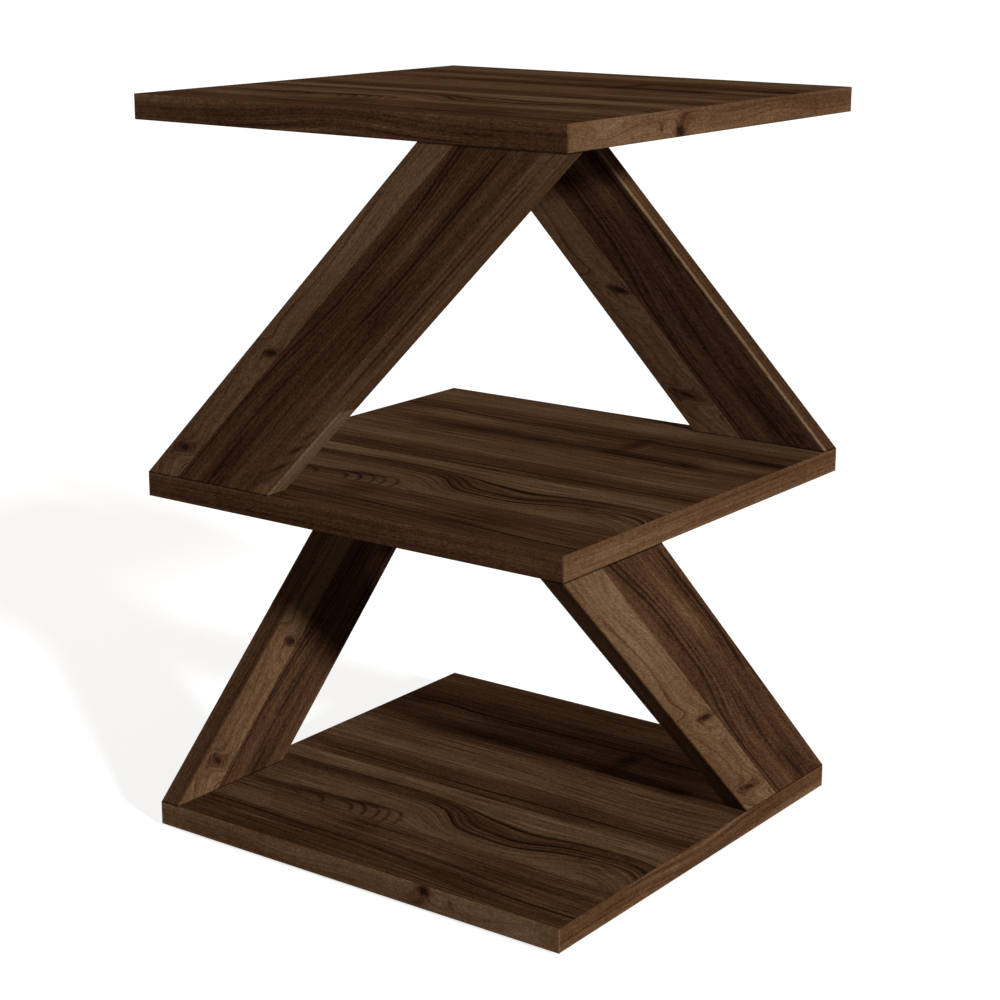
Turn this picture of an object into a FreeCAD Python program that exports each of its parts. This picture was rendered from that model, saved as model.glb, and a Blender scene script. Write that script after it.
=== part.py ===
import FreeCAD, Part
import math
import os

from FreeCAD import Vector

# Square side table with three shelves on four slanted board legs, in millimetres.
# +Z is up, and the origin is on the floor under the middle of the table. Front is -Y, right is +X.
# Every board is chipboard with a printed face, and its edges are covered by edge bands.
# The upper pair of legs stands in the front and the back face, the lower pair in the left and the right
# face. The two legs of a pair lean opposite ways, so half a turn about +Z carries the table onto itself.


# Boards
side = 370.0          # length and depth of each square shelf, over its edge bands
height = 555.0        # of the whole table, over its glides
lower_gap = 242.0     # clear height from the bottom shelf to the middle one; the upper gap takes the rest
board = 18.0          # thickness of every board
leg_width = 83.3      # width of a leg board square to its slant, over its edge bands
band = 1.0            # thickness of the edge bands
band_bevel = 0.5      # bevel along the outer edges of the edge bands

# Fixings stand across a leg's level cut, from its blunt corner towards its sharp one
screw_shares = (0.15, 0.58)   # two screws in each lower end
dowel_share = 0.2             # a dowel and a cam in each upper end
cam_share = 0.52
clearance = 0.1               # all round between a fixing and its hole
spare_depth = 1.0             # length of a blind hole past the end of what it takes

# Connecting screws, driven up through a shelf into the lower end of a leg
screw_length = 50.0
screw_radius = 3.5
screw_head_radius = 5.0
screw_socket_radius = 2.3     # over the corners of the hexagon
screw_socket_depth = 3.0

# Beech dowels
dowel_radius = 4.0
dowel_length = 30.0
dowel_in_shelf = 11.0

# Cam locks, sunk in the inner face of a leg's upper end
cam_radius = 7.5
cam_below_end = 24.0          # from the level cut of the leg down to the cam's middle
cam_past_bolt = 4.0           # from the bolt's middle line to the cam's blind end
cam_set_in = 0.2              # how far the cam's face lies under the board's face
cam_cross_length = 8.0
cam_cross_width = 1.4
cam_cross_depth = 2.0

# Bolts that hang from a shelf into the cams
bolt_thread_radius = 3.0
bolt_thread_length = 11.0
bolt_collar_radius = 3.7
bolt_collar_length = 2.0
bolt_shaft_radius = 2.2
bolt_head_radius = 3.2
bolt_head_length = 2.2
bolt_bore_radius = 4.0        # bore in the leg's end that the bolt passes down

# Glides stuck under the bottom shelf
glide_radius = 11.0
glide_height = 3.0
glide_bevel = 1.2
glide_inset = 30.0            # from each edge of the shelf to the glide's middle

# Levels and places that follow from these
half = side / 2
bottom_level = glide_height
lower_leg_level = bottom_level + board
middle_level = lower_leg_level + lower_gap
upper_leg_level = middle_level + board
top_level = height - board
upper_gap = top_level - upper_leg_level
overrun = board               # how far a cutting tool runs past what it cuts

UP, DOWN = Vector(0, 0, 1), Vector(0, 0, -1)
FRONT, BACK = Vector(0, -1, 0), Vector(0, 1, 0)
LEFT, RIGHT = Vector(-1, 0, 0), Vector(1, 0, 0)


def flat_face(spots):
    """Flat face with corners at spots."""
    return Part.Face(Part.makePolygon(spots + spots[:1]))


def block(middle, *spans):
    """Box about its middle, from three vectors that span it."""
    first, second, third = spans
    corner = middle - (first + second + third) / 2
    return flat_face([corner, corner + first, corner + first + second, corner + second]).extrude(third)


def turned(outline, base, axis):
    """Solid of revolution: outline is (radius, place) pairs, with places counted along axis from base."""
    spots = [base + LEFT * radius + axis * place for radius, place in outline]
    return flat_face(spots).revolve(base, axis, 360)


def bevelled_strip(base, outward, across, run):
    """Edge band that lies on base, is a board wide along across, and has both outer edges bevelled."""
    edge = across * (board / 2)
    bevel = across * band_bevel
    shoulder = outward * (band - band_bevel)
    face = outward * band
    section = [
        base - edge, base - edge + shoulder, base - edge + bevel + face,
        base + edge - bevel + face, base + edge + shoulder, base + edge,
    ]
    return flat_face(section).extrude(run)


class Leg:
    """A slanted leg from its outer lower corner. It leans along lean, and inward points under the table."""

    def __init__(self, corner, lean, inward, level, gap):
        self.corner = corner + UP * level
        self.lean = lean
        self.inward = inward
        self.gap = gap
        # Length of the level cuts that leave the plank leg_width wide between its slanted edges
        square_run = math.sqrt(gap ** 2 + side ** 2 - leg_width ** 2)
        self.cut = leg_width * (gap * square_run - leg_width * side) / (gap ** 2 - leg_width ** 2)
        self.shift = side - self.cut
        self.slant = math.hypot(self.shift, gap)
        self.along = (lean * self.shift + UP * gap) / self.slant
        self.over = (UP * self.shift - lean * gap) / self.slant

    def spot(self, place, rise):
        """Point in mid-thickness, at a place along the lean and a rise over the shelf below."""
        return self.corner + self.lean * place + UP * rise + self.inward * (board / 2)

    def foot(self, share):
        """Point of the lower cut, a share of its length from the blunt corner."""
        return self.spot(self.cut * (1 - share), 0)

    def head(self, share):
        """Point of the upper cut, a share of its length from the blunt corner."""
        return self.spot(self.shift + self.cut * share, self.gap)

    def cam_middle(self):
        """Where the cam's own axis crosses the axis of its bolt."""
        return self.head(cam_share) + DOWN * cam_below_end

    def level_cut(self, plank):
        """A plank with its ends cut level, between the shelf below and the shelf above."""
        middle = self.spot(side / 2, self.gap / 2)
        wide = self.lean * (side + 2 * overrun)
        deep = self.inward * (board + 2 * overrun)
        return plank.common(block(middle, wide, deep, UP * self.gap))

    def core(self):
        """The leg's board without its bands."""
        middle = self.spot(side / 2, self.gap / 2)
        length = self.along * (self.slant + 2 * self.cut)
        width = self.over * (leg_width - 2 * band)
        return self.level_cut(block(middle, width, self.inward * board, length))

    def edge_band(self, outward):
        """The band on the slanted edge that faces outward."""
        start = self.spot(self.cut / 2, 0) - self.along * self.cut
        run = self.along * (self.slant + 2 * self.cut)
        base = start + outward * (leg_width / 2 - band)
        return self.level_cut(bevelled_strip(base, outward, self.inward, run))


def shelf_core(level):
    """A shelf's board without its bands."""
    return block(UP * (level + board / 2), RIGHT * (side - 2 * band), BACK * (side - 2 * band), UP * board)


def shelf_band(level, outward):
    """The band on one edge of a shelf. Front and back bands cover the ends of the left and right ones."""
    along = UP.cross(outward)
    covers = outward in (FRONT, BACK)
    length = side if covers else side - 2 * band
    start = outward * (half - band) - along * (length / 2) + UP * (level + board / 2)
    strip = bevelled_strip(start, outward, UP, along * length)
    return strip.common(bevelled_shelf(level)) if covers else strip


def bevelled_shelf(level):
    """Outline of a whole shelf with its four upright edges bevelled."""
    whole = block(UP * (level + board / 2), RIGHT * side, BACK * side, UP * board)
    upright = [edge for edge in whole.Edges if edge.BoundBox.ZLength > board / 2]
    return whole.makeChamfer(band_bevel, upright)


def screw(foot):
    """Connecting screw with a bevelled head flush with the shelf's underside and a hexagon socket in it."""
    base = foot + DOWN * board
    neck = screw_head_radius - screw_radius
    outline = [
        (0, 0), (screw_head_radius, 0), (screw_radius, neck),
        (screw_radius, screw_length), (0, screw_length),
    ]
    turns = [math.tau * step / 6 for step in range(6)]
    ways = [RIGHT * math.cos(turn) + BACK * math.sin(turn) for turn in turns]
    socket = [base + way * screw_socket_radius for way in ways]
    return turned(outline, base, UP).cut(flat_face(socket).extrude(UP * screw_socket_depth))


def screw_hole(foot):
    """Hole for one screw, countersunk in the shelf's underside and blind in the leg."""
    base = foot + DOWN * board
    radius = screw_radius + clearance
    neck = screw_head_radius - screw_radius
    depth = screw_length + spare_depth
    sink = screw_head_radius + clearance
    return turned([(0, 0), (sink, 0), (radius, neck), (radius, depth), (0, depth)], base, UP)


def dowel(head):
    """Dowel half in the shelf above and half in the leg's upper end."""
    return Part.makeCylinder(dowel_radius, dowel_length, head + UP * dowel_in_shelf, DOWN)


def dowel_hole(head):
    """Both bores for one dowel."""
    length = dowel_length + 2 * spare_depth
    top = head + UP * (dowel_in_shelf + spare_depth)
    return Part.makeCylinder(dowel_radius + clearance, length, top, DOWN)


def bolt(head):
    """Bolt with a thread in the shelf, a collar against it, a shaft, and a head inside the cam."""
    shaft_end = cam_below_end - bolt_head_length / 2
    head_end = shaft_end + bolt_head_length
    outline = [
        (0, -bolt_thread_length), (bolt_thread_radius, -bolt_thread_length), (bolt_thread_radius, 0),
        (bolt_collar_radius, 0), (bolt_collar_radius, bolt_collar_length),
        (bolt_shaft_radius, bolt_collar_length), (bolt_shaft_radius, shaft_end),
        (bolt_head_radius, shaft_end), (bolt_head_radius, head_end), (0, head_end),
    ]
    return turned(outline, head, DOWN)


def bolt_hole(head):
    """Blind bore for the bolt's thread in the shelf above."""
    depth = bolt_thread_length + spare_depth
    return Part.makeCylinder(bolt_thread_radius + clearance, depth, head, UP)


def bolt_bore(head):
    """Bore that the bolt passes down, from the leg's upper cut into the bore of the cam."""
    return Part.makeCylinder(bolt_bore_radius, cam_below_end, head, DOWN)


def cam(leg):
    """Cam lock: a disc with a cross in its face, a pocket for the bolt's head and a slot for its shaft."""
    middle = leg.cam_middle()
    face = middle + leg.inward * (board / 2 - cam_set_in)
    depth = board / 2 - cam_set_in + cam_past_bolt
    disc = Part.makeCylinder(cam_radius, depth, middle - leg.inward * cam_past_bolt, leg.inward)
    room = 2 * (bolt_head_radius + clearance)
    pocket_height = bolt_head_length + 2 * clearance
    pocket = block(middle, leg.lean * room, leg.inward * room, UP * pocket_height)
    room = 2 * (bolt_shaft_radius + clearance)
    slot = block(middle + UP * cam_radius, leg.lean * room, leg.inward * room, UP * (2 * cam_radius))
    sunk = leg.inward * (2 * cam_cross_depth)
    cross = [
        block(face, way * cam_cross_length, way.cross(leg.inward) * cam_cross_width, sunk)
        for way in (leg.lean, UP)
    ]
    return disc.cut([pocket, slot] + cross)


def cam_hole(leg):
    """Blind bore for the cam in the leg's inner face."""
    reach = cam_past_bolt + clearance
    base = leg.cam_middle() - leg.inward * reach
    return Part.makeCylinder(cam_radius + clearance, reach + board / 2, base, leg.inward)


def glide(across, along):
    """Glide with a bevelled rim, stuck under one corner of the bottom shelf."""
    reach = half - glide_inset
    place = across * reach + along * reach
    flat = glide_radius - glide_bevel
    outline = [
        (0, 0), (flat, 0), (glide_radius, glide_bevel),
        (glide_radius, glide_height), (0, glide_height),
    ]
    return turned(outline, place, UP)


def export(name, solids):
    """Write one node and print what it holds."""
    for solid in solids:
        if not solid.isValid() or solid.Volume <= 0:
            raise ValueError(f"{name} holds a solid that isn't valid")
    shape = solids[0] if len(solids) == 1 else Part.makeCompound(solids)
    shape.exportStep(f"parts/{name}.step")
    box = shape.optimalBoundingBox()
    print(f"{name}: {len(solids)} solid(s), {box.XLength:.1f} x {box.YLength:.1f} x {box.ZLength:.1f} mm")


def main():
    os.makedirs("parts", exist_ok=True)

    left_corner = LEFT * half + FRONT * half
    right_corner = RIGHT * half + BACK * half
    legs = {
        "lower_left_leg": Leg(left_corner, BACK, RIGHT, lower_leg_level, lower_gap),
        "lower_right_leg": Leg(right_corner, FRONT, LEFT, lower_leg_level, lower_gap),
        "upper_front_leg": Leg(left_corner, RIGHT, BACK, upper_leg_level, upper_gap),
        "upper_back_leg": Leg(right_corner, LEFT, FRONT, upper_leg_level, upper_gap),
    }

    # Each leg is bored together with the shelves at its ends, so that the holes line up
    shelf_holes = []
    for name, leg in legs.items():
        joint_holes = [screw_hole(leg.foot(share)) for share in screw_shares]
        joint_holes.append(dowel_hole(leg.head(dowel_share)))
        shelf_holes += joint_holes + [bolt_hole(leg.head(cam_share))]
        leg_holes = joint_holes + [bolt_bore(leg.head(cam_share)), cam_hole(leg)]
        export(name, [leg.core().cut(leg_holes)])
        export(f"{name}_over_band", [leg.edge_band(leg.over)])
        export(f"{name}_under_band", [leg.edge_band(-leg.over)])

    shelves = {"bottom_shelf": bottom_level, "middle_shelf": middle_level, "top_shelf": top_level}
    sides = {"front": FRONT, "right": RIGHT, "back": BACK, "left": LEFT}
    for name, level in shelves.items():
        core = shelf_core(level)
        holes = [hole for hole in shelf_holes if hole.BoundBox.intersect(core.BoundBox)]
        export(name, [core.cut(holes)])
        for word, outward in sides.items():
            export(f"{name}_{word}_band", [shelf_band(level, outward)])

    export("connecting_screws", [screw(leg.foot(share)) for leg in legs.values() for share in screw_shares])
    export("dowels", [dowel(leg.head(dowel_share)) for leg in legs.values()])
    export("cam_bolts", [bolt(leg.head(cam_share)) for leg in legs.values()])
    export("cam_locks", [cam(leg) for leg in legs.values()])
    export("glides", [glide(across, along) for across in (LEFT, RIGHT) for along in (FRONT, BACK)])


main()
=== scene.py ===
# %% [markdown]
# # A three-shelf side table in dark walnut decor
#
# The real table is flat-pack furniture: seven chipboard boards with a printed walnut face, edge bands
# that hide the sawn edges, and a few screws, bolts, cams and dowels that hold the boards together. The
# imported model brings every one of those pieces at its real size, so this lesson is mostly about two
# things: how to give flat boards a convincing printed wood, and how to model the small metal parts that a
# turned CAD shape only hints at.
#
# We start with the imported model. Everything is in metres, +Z is up, and the origin is on the floor under
# the middle of the table. The front of the table faces -Y and its right side faces +X.

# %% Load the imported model
import math

import bmesh
import bpy
from mathutils import Euler, Matrix, Vector


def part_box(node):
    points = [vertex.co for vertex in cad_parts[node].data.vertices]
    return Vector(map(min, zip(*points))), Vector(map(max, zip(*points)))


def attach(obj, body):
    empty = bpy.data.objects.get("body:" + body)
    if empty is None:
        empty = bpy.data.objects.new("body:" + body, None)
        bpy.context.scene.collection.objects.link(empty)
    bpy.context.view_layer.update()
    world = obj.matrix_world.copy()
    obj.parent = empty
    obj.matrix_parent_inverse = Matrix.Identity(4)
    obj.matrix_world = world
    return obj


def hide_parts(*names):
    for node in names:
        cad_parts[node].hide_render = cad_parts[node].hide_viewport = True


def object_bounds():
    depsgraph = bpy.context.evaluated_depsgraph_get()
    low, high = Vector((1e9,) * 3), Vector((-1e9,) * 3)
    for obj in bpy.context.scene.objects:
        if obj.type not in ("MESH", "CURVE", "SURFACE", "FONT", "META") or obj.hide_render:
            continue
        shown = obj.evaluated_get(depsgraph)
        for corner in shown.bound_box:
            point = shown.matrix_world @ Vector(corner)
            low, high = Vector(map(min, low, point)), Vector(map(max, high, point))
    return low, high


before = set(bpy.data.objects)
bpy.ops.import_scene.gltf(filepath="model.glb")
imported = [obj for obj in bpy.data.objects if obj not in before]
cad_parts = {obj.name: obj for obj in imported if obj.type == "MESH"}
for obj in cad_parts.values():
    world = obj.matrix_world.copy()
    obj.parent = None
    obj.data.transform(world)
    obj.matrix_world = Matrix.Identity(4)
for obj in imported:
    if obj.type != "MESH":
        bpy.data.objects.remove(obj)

cad_box = [list(corner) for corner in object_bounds()]
mm = 0.001
low, high = (Vector(corner) for corner in cad_box)
half = (high.x - low.x) / 2
side = 2 * half
print("pieces from the packed model:", len(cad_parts), "side in mm:", round(side / mm, 1))

# %% [markdown]
# ## The camera
#
# The camera's place was worked out from the straight edges of the shelves and legs in the photograph: it
# stands to the right of the front, a little higher than the table, and looks slightly down with a long
# lens. A long lens keeps the three shelves nearly alike in size. Only its eye point, heading and lens are
# written here, because a camera needs nothing else.

# %% Camera
eye = Vector((0.9560, -1.3092, 0.6819))
heading, tilt, roll = math.radians(36.145), math.radians(-14.933), math.radians(0.18)


def new_object(name, data):
    """Object with this camera, mesh or lamp, linked to the scene."""
    made = bpy.data.objects.new(name, data)
    bpy.context.scene.collection.objects.link(made)
    return made


camera_data = bpy.data.cameras.new("camera")
camera_data.lens = 79.98
camera_data.sensor_width = 36.0
camera = new_object("camera", camera_data)
turn = Euler((math.radians(90) + tilt, 0, heading)).to_matrix() @ Matrix.Rotation(roll, 3, "Z")
camera.matrix_world = Matrix.LocRotScale(eye, turn, None)
bpy.context.scene.camera = camera
print("camera is", round(eye.length, 3), "m from the origin")

# %% [markdown]
# ## Small helpers for shader nodes
#
# Wood made from numbers needs many small nodes. A few helpers keep that readable. The first set links a
# socket, adds a node with its settings and inputs, does a sum, and starts a node group with named
# sockets. The second set gives the shapes that every brush needs: a bell, a soft step, a mask between two
# values, and a ramp from a value to a colour.

# %% Node helpers
def wire(tree, socket, value):
    """Link a socket to another node's output, or set it to a plain value."""
    if isinstance(value, bpy.types.NodeSocket):
        tree.links.new(value, socket)
    else:
        socket.default_value = value


def add(tree, kind, inputs=None, **settings):
    """Add a node. inputs is a dictionary by socket name, or a list in socket order."""
    node = tree.nodes.new("ShaderNode" + kind)
    for name, value in settings.items():
        setattr(node, name, value)
    pairs = inputs.items() if isinstance(inputs, dict) else enumerate(inputs or [])
    for key, value in pairs:
        wire(tree, node.inputs[key], value)
    return node


def calc(tree, operation, *values):
    """Result of one Math node."""
    return add(tree, "Math", values, operation=operation).outputs[0]


def start_group(name, inputs, outputs):
    """Empty node group with named sockets: gives the tree, what it is given and what it has to fill."""
    tree = bpy.data.node_groups.new(name, "ShaderNodeTree")
    for way, sockets in (("INPUT", inputs), ("OUTPUT", outputs)):
        for label, kind in sockets.items():
            tree.interface.new_socket(label, in_out=way, socket_type="NodeSocket" + kind)
    given = tree.nodes.new("NodeGroupInput").outputs
    result = tree.nodes.new("NodeGroupOutput").inputs
    return tree, given, result


print("node helpers ready")

# %% Shape helpers
def bell(tree, off, sharpness=1.0):
    """Bell curve: 1 where off is 0, and fading to 0 on both sides."""
    return calc(tree, "EXPONENT", calc(tree, "MULTIPLY", calc(tree, "MULTIPLY", off, off), -sharpness))


def soft_step(tree, value, begin, end):
    """0 before begin, 1 past end, and a soft slope between them."""
    return add(tree, "MapRange", {
        "Value": value, "From Min": begin, "From Max": end,
    }, interpolation_type="SMOOTHSTEP").outputs[0]


def within(tree, value, begin, end):
    """1 where a value lies between two others, else 0."""
    past = calc(tree, "GREATER_THAN", value, begin)
    return calc(tree, "MULTIPLY", past, calc(tree, "LESS_THAN", value, end))


def pick_colour(tree, value, stops):
    """Colour for a value from stops, each a place with a colour, or with one number for a grey."""
    node = add(tree, "ValToRGB", {"Fac": value})
    elements = node.color_ramp.elements
    elements.remove(elements[-1])
    for number, (place, colour) in enumerate(stops):
        stop = elements[0] if number == 0 else elements.new(place)
        stop.position = place
        stop.color = (colour, colour, colour, 1) if isinstance(colour, (int, float)) else (*colour, 1)
    return node.outputs["Color"]


print("shape helpers ready")

# %% [markdown]
# ## Three brush strokes: soft spot, drawn line and drawn arc
#
# A printed decor is a picture of real walnut, so it has features in fixed places: a dark band here, a
# knot there. Three small groups paint them. A soft spot adds a rounded patch of darkness, or bends the
# grain when its value is added to the position. A drawn line adds one thin growth line with a start and
# an end. A drawn arc runs along the grain and then turns down to a seam, as rings do where a plank was
# sawn through a bulge. All take the sum so far and give the new sum, so that they chain like strokes of a
# brush.

# %% Soft spot
def make_soft_spot():
    """Group that adds one rounded, leaning patch to a sum."""
    tree, given, result = start_group(
        "soft spot",
        {"Sum": "Float", "Position": "Vector", "Place": "Vector", "Reach": "Vector", "Lean": "Float",
         "Strength": "Float"},
        {"Sum": "Float"},
    )
    gap = add(tree, "VectorMath", [given["Position"], given["Place"]], operation="SUBTRACT")
    parts = add(tree, "SeparateXYZ", [gap.outputs[0]]).outputs
    leaned = calc(tree, "SUBTRACT", parts["Y"], calc(tree, "MULTIPLY", parts["X"], given["Lean"]))
    flat = add(tree, "CombineXYZ", {"X": parts["X"], "Y": leaned}).outputs[0]
    share = add(tree, "VectorMath", [flat, given["Reach"]], operation="DIVIDE").outputs[0]
    far = add(tree, "VectorMath", [share, share], operation="DOT_PRODUCT").outputs["Value"]
    fall = calc(tree, "EXPONENT", calc(tree, "MULTIPLY", far, -1.0))
    wire(tree, result["Sum"], calc(tree, "MULTIPLY_ADD", fall, given["Strength"], given["Sum"]))
    return tree


soft_spot = make_soft_spot()
print("soft spot uses", len(soft_spot.nodes), "nodes")

# %% Drawn line
def make_drawn_line():
    """Group that adds one thin line along the grain to a sum."""
    tree, given, result = start_group(
        "drawn line",
        {"Sum": "Float", "Position": "Vector", "Across": "Float", "Half Width": "Float", "From": "Float",
         "To": "Float", "Fade": "Float", "Strength": "Float"},
        {"Sum": "Float"},
    )
    parts = add(tree, "SeparateXYZ", [given["Position"]]).outputs
    off = calc(tree, "DIVIDE", calc(tree, "SUBTRACT", parts["Y"], given["Across"]), given["Half Width"])
    rise = soft_step(tree, parts["X"], given["From"], calc(tree, "ADD", given["From"], given["Fade"]))
    end = soft_step(tree, parts["X"], given["To"], calc(tree, "SUBTRACT", given["To"], given["Fade"]))
    mask = calc(tree, "MULTIPLY", bell(tree, off), calc(tree, "MULTIPLY", rise, end))
    wire(tree, result["Sum"], calc(tree, "MULTIPLY_ADD", mask, given["Strength"], given["Sum"]))
    return tree


drawn_line = make_drawn_line()
print("drawn line uses", len(drawn_line.nodes), "nodes")

# %% Drawn arc
ARC_FADE = 20 * mm       # how long an arc takes to set in


def make_drawn_arc():
    """Group that adds one line to a sum that runs along the grain and turns down to a seam."""
    tree, given, result = start_group(
        "drawn arc",
        {"Sum": "Float", "Position": "Vector", "Place": "Vector", "Reach": "Vector", "Half Width": "Float",
         "From": "Float", "Strength": "Float"},
        {"Sum": "Float"},
    )
    gap = add(tree, "VectorMath", [given["Position"], given["Place"]], operation="SUBTRACT").outputs[0]
    parts = add(tree, "SeparateXYZ", [gap]).outputs
    past = calc(tree, "MAXIMUM", parts["X"], 0.0)
    flat = add(tree, "CombineXYZ", {"X": past, "Y": parts["Y"]}).outputs[0]

    # How far off an ellipse a place is: its share of the reach less one, over how fast that share grows
    share = add(tree, "VectorMath", [flat, given["Reach"]], operation="DIVIDE").outputs[0]
    size = add(tree, "VectorMath", [share], operation="LENGTH").outputs["Value"]
    slope = add(tree, "VectorMath", [share, given["Reach"]], operation="DIVIDE").outputs[0]
    steep = add(tree, "VectorMath", [slope], operation="LENGTH").outputs["Value"]
    over = calc(tree, "MULTIPLY", calc(tree, "SUBTRACT", size, 1.0), size)
    off = calc(tree, "DIVIDE", calc(tree, "DIVIDE", over, steep), given["Half Width"])

    along = add(tree, "SeparateXYZ", [given["Position"]]).outputs["X"]
    begun = soft_step(tree, along, given["From"], calc(tree, "ADD", given["From"], ARC_FADE))
    behind = calc(tree, "LESS_THAN", parts["Y"], 0.0)
    mask = calc(tree, "MULTIPLY", bell(tree, off), calc(tree, "MULTIPLY", behind, begun))
    wire(tree, result["Sum"], calc(tree, "MULTIPLY_ADD", mask, given["Strength"], given["Sum"]))
    return tree


drawn_arc = make_drawn_arc()
print("drawn arc uses", len(drawn_arc.nodes), "nodes")

# %% [markdown]
# ## A knot
#
# A knot is the foot of a branch. The trunk's growth lines part in front of it and close again behind it,
# and the branch itself shows as nested rings with a dark heart. One formula does both. Take the square of
# a line's distance from the knot's axis and subtract the square of the knot's own height there, which
# fades along the axis as a bell. Where the result is above zero, its root is where the line would have
# run without the knot. Where it is below zero, the place is inside the branch, and the root counts the
# rings.

# %% Knot
KNOT_RINGS = [(0, 0), (0.12, 0.6), (0.28, 0.1), (0.45, 0.5), (0.6, 0.15), (0.75, 0.55), (0.88, 0.3), (1, 1)]


def make_knot():
    """Group that parts the grain round a branch and gives the darkness of the branch's rings."""
    tree, given, result = start_group(
        "knot",
        {"Across": "Float", "Position": "Vector", "Place": "Vector", "Reach": "Float",
         "Half Height": "Float", "Lean": "Float"},
        {"Across": "Float", "Rings": "Float"},
    )
    middle = add(tree, "SeparateXYZ", [given["Place"]]).outputs
    here = add(tree, "SeparateXYZ", [given["Position"]]).outputs["X"]
    along = calc(tree, "SUBTRACT", here, middle["X"])
    near = bell(tree, calc(tree, "DIVIDE", along, given["Reach"]), sharpness=0.5)
    slope = calc(tree, "MULTIPLY", along, given["Lean"])
    lean = calc(tree, "MULTIPLY", slope, calc(tree, "POWER", near, 0.25))
    off = calc(tree, "SUBTRACT", calc(tree, "SUBTRACT", given["Across"], middle["Y"]), lean)
    height = calc(tree, "MULTIPLY", given["Half Height"], near)
    taken = calc(tree, "MULTIPLY", height, height)
    past = calc(tree, "SUBTRACT", calc(tree, "MULTIPLY", off, off), taken)
    outside = calc(tree, "SQRT", calc(tree, "MAXIMUM", past, 0.0))
    inside = calc(tree, "SQRT", calc(tree, "MAXIMUM", calc(tree, "MULTIPLY", past, -1.0), 0.0))
    parted = calc(tree, "MULTIPLY_ADD", calc(tree, "SIGN", off), outside, inside)
    wire(tree, result["Across"], calc(tree, "ADD", parted, middle["Y"]))
    depth = calc(tree, "DIVIDE", inside, given["Half Height"])
    wire(tree, result["Rings"], pick_colour(tree, depth, KNOT_RINGS))
    return tree


knot = make_knot()
print("knot uses", len(knot.nodes), "nodes")

# %% [markdown]
# ## The figure of a board
#
# In wood, every line follows the growth rings, and the rings flow round a knot. So the figure is built as
# a flow first: the place across the grain is pushed aside by soft spots, and whatever is drawn with the
# pushed place follows the bend by itself. Sweeps carry the tone of the board with them, and curls bend
# only the fine lines. A decor board is a picture of planks glued side by side, so a bend stops at the
# seam of its plank. The tone across the board is a colour ramp with listed stops, and shades and lines
# are added on top. A painted image would be quicker, but this way the wood has no pixels and can be cut
# to any size. All places are millimetres along the grain and across it, and darkness runs from 0, the
# lightest walnut, to 1, the darkest line.

# %% Strokes
LINE_STRENGTH = 1.4      # how much darker a drawn line gets than its number says
ARC_STRENGTH = 0.8
ARC_HALF_WIDTH = 1.6 * mm


def strokes(tree, start, position, spots):
    """Chain of soft spots, each (along, across, reach along, reach across, strength, lean)."""
    total = start
    for along, across, reach_along, reach_across, strength, lean in spots:
        total = add(tree, "Group", {
            "Sum": total, "Position": position, "Place": (along * mm, across * mm, 0),
            "Reach": (reach_along * mm, reach_across * mm, 1), "Lean": lean, "Strength": strength,
        }, node_tree=soft_spot).outputs[0]
    return total


def draw_lines(tree, start, position, lines, fade=25):
    """Chain of drawn lines, each (across, half width, from, to, strength)."""
    total = start
    for across, half_width, begin, end, strength in lines:
        total = add(tree, "Group", {
            "Sum": total, "Position": position, "Across": across * mm, "Half Width": half_width * mm,
            "From": begin * mm, "To": end * mm, "Fade": fade * mm, "Strength": LINE_STRENGTH * strength,
        }, node_tree=drawn_line).outputs[0]
    return total


def draw_arcs(tree, start, position, seam, arcs):
    """Chain of arcs that end at a seam, each (end, reach along, height over it, from, strength)."""
    total = start
    for end, reach_along, height, begin, strength in arcs:
        total = add(tree, "Group", {
            "Sum": total, "Position": position, "Place": ((end - reach_along) * mm, seam * mm, 0),
            "Reach": (reach_along * mm, height * mm, 1), "Half Width": ARC_HALF_WIDTH,
            "From": begin * mm, "Strength": ARC_STRENGTH * strength,
        }, node_tree=drawn_arc).outputs[0]
    return total


def bend(tree, start, position, across, planks):
    """Push the place across the grain by soft spots, each list only inside its own plank."""
    total = start
    for begin, end, spots in planks:
        push = strokes(tree, 0.0, position, [(*spot[:4], spot[4] * mm, spot[5]) for spot in spots])
        total = calc(tree, "MULTIPLY_ADD", push, within(tree, across, begin * mm, end * mm), total)
    return total


def grow_knots(tree, across, position, true_across, planks):
    """Part the lines round knots, each (along, across, reach, half height, lean, strength)."""
    dark = 0.0
    for begin, end, knots in planks:
        parted, rings = across, 0.0
        for along, middle, reach, half_height, lean, strength in knots:
            grown = add(tree, "Group", {
                "Across": parted, "Position": position, "Place": (along * mm, middle * mm, 0),
                "Reach": reach * mm, "Half Height": half_height * mm, "Lean": lean,
            }, node_tree=knot).outputs
            parted = grown["Across"]
            rings = calc(tree, "MULTIPLY_ADD", grown["Rings"], strength, rings)
        inside = within(tree, true_across, begin * mm, end * mm)
        across = calc(tree, "MULTIPLY_ADD", calc(tree, "SUBTRACT", parted, across), inside, across)
        dark = calc(tree, "MULTIPLY_ADD", rings, inside, dark)
    return across, dark


print("strokes ready")

# %% Figure of a board
PLANK_DEPTH = 0.37       # step in the noises' depth from one plank to the next


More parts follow.
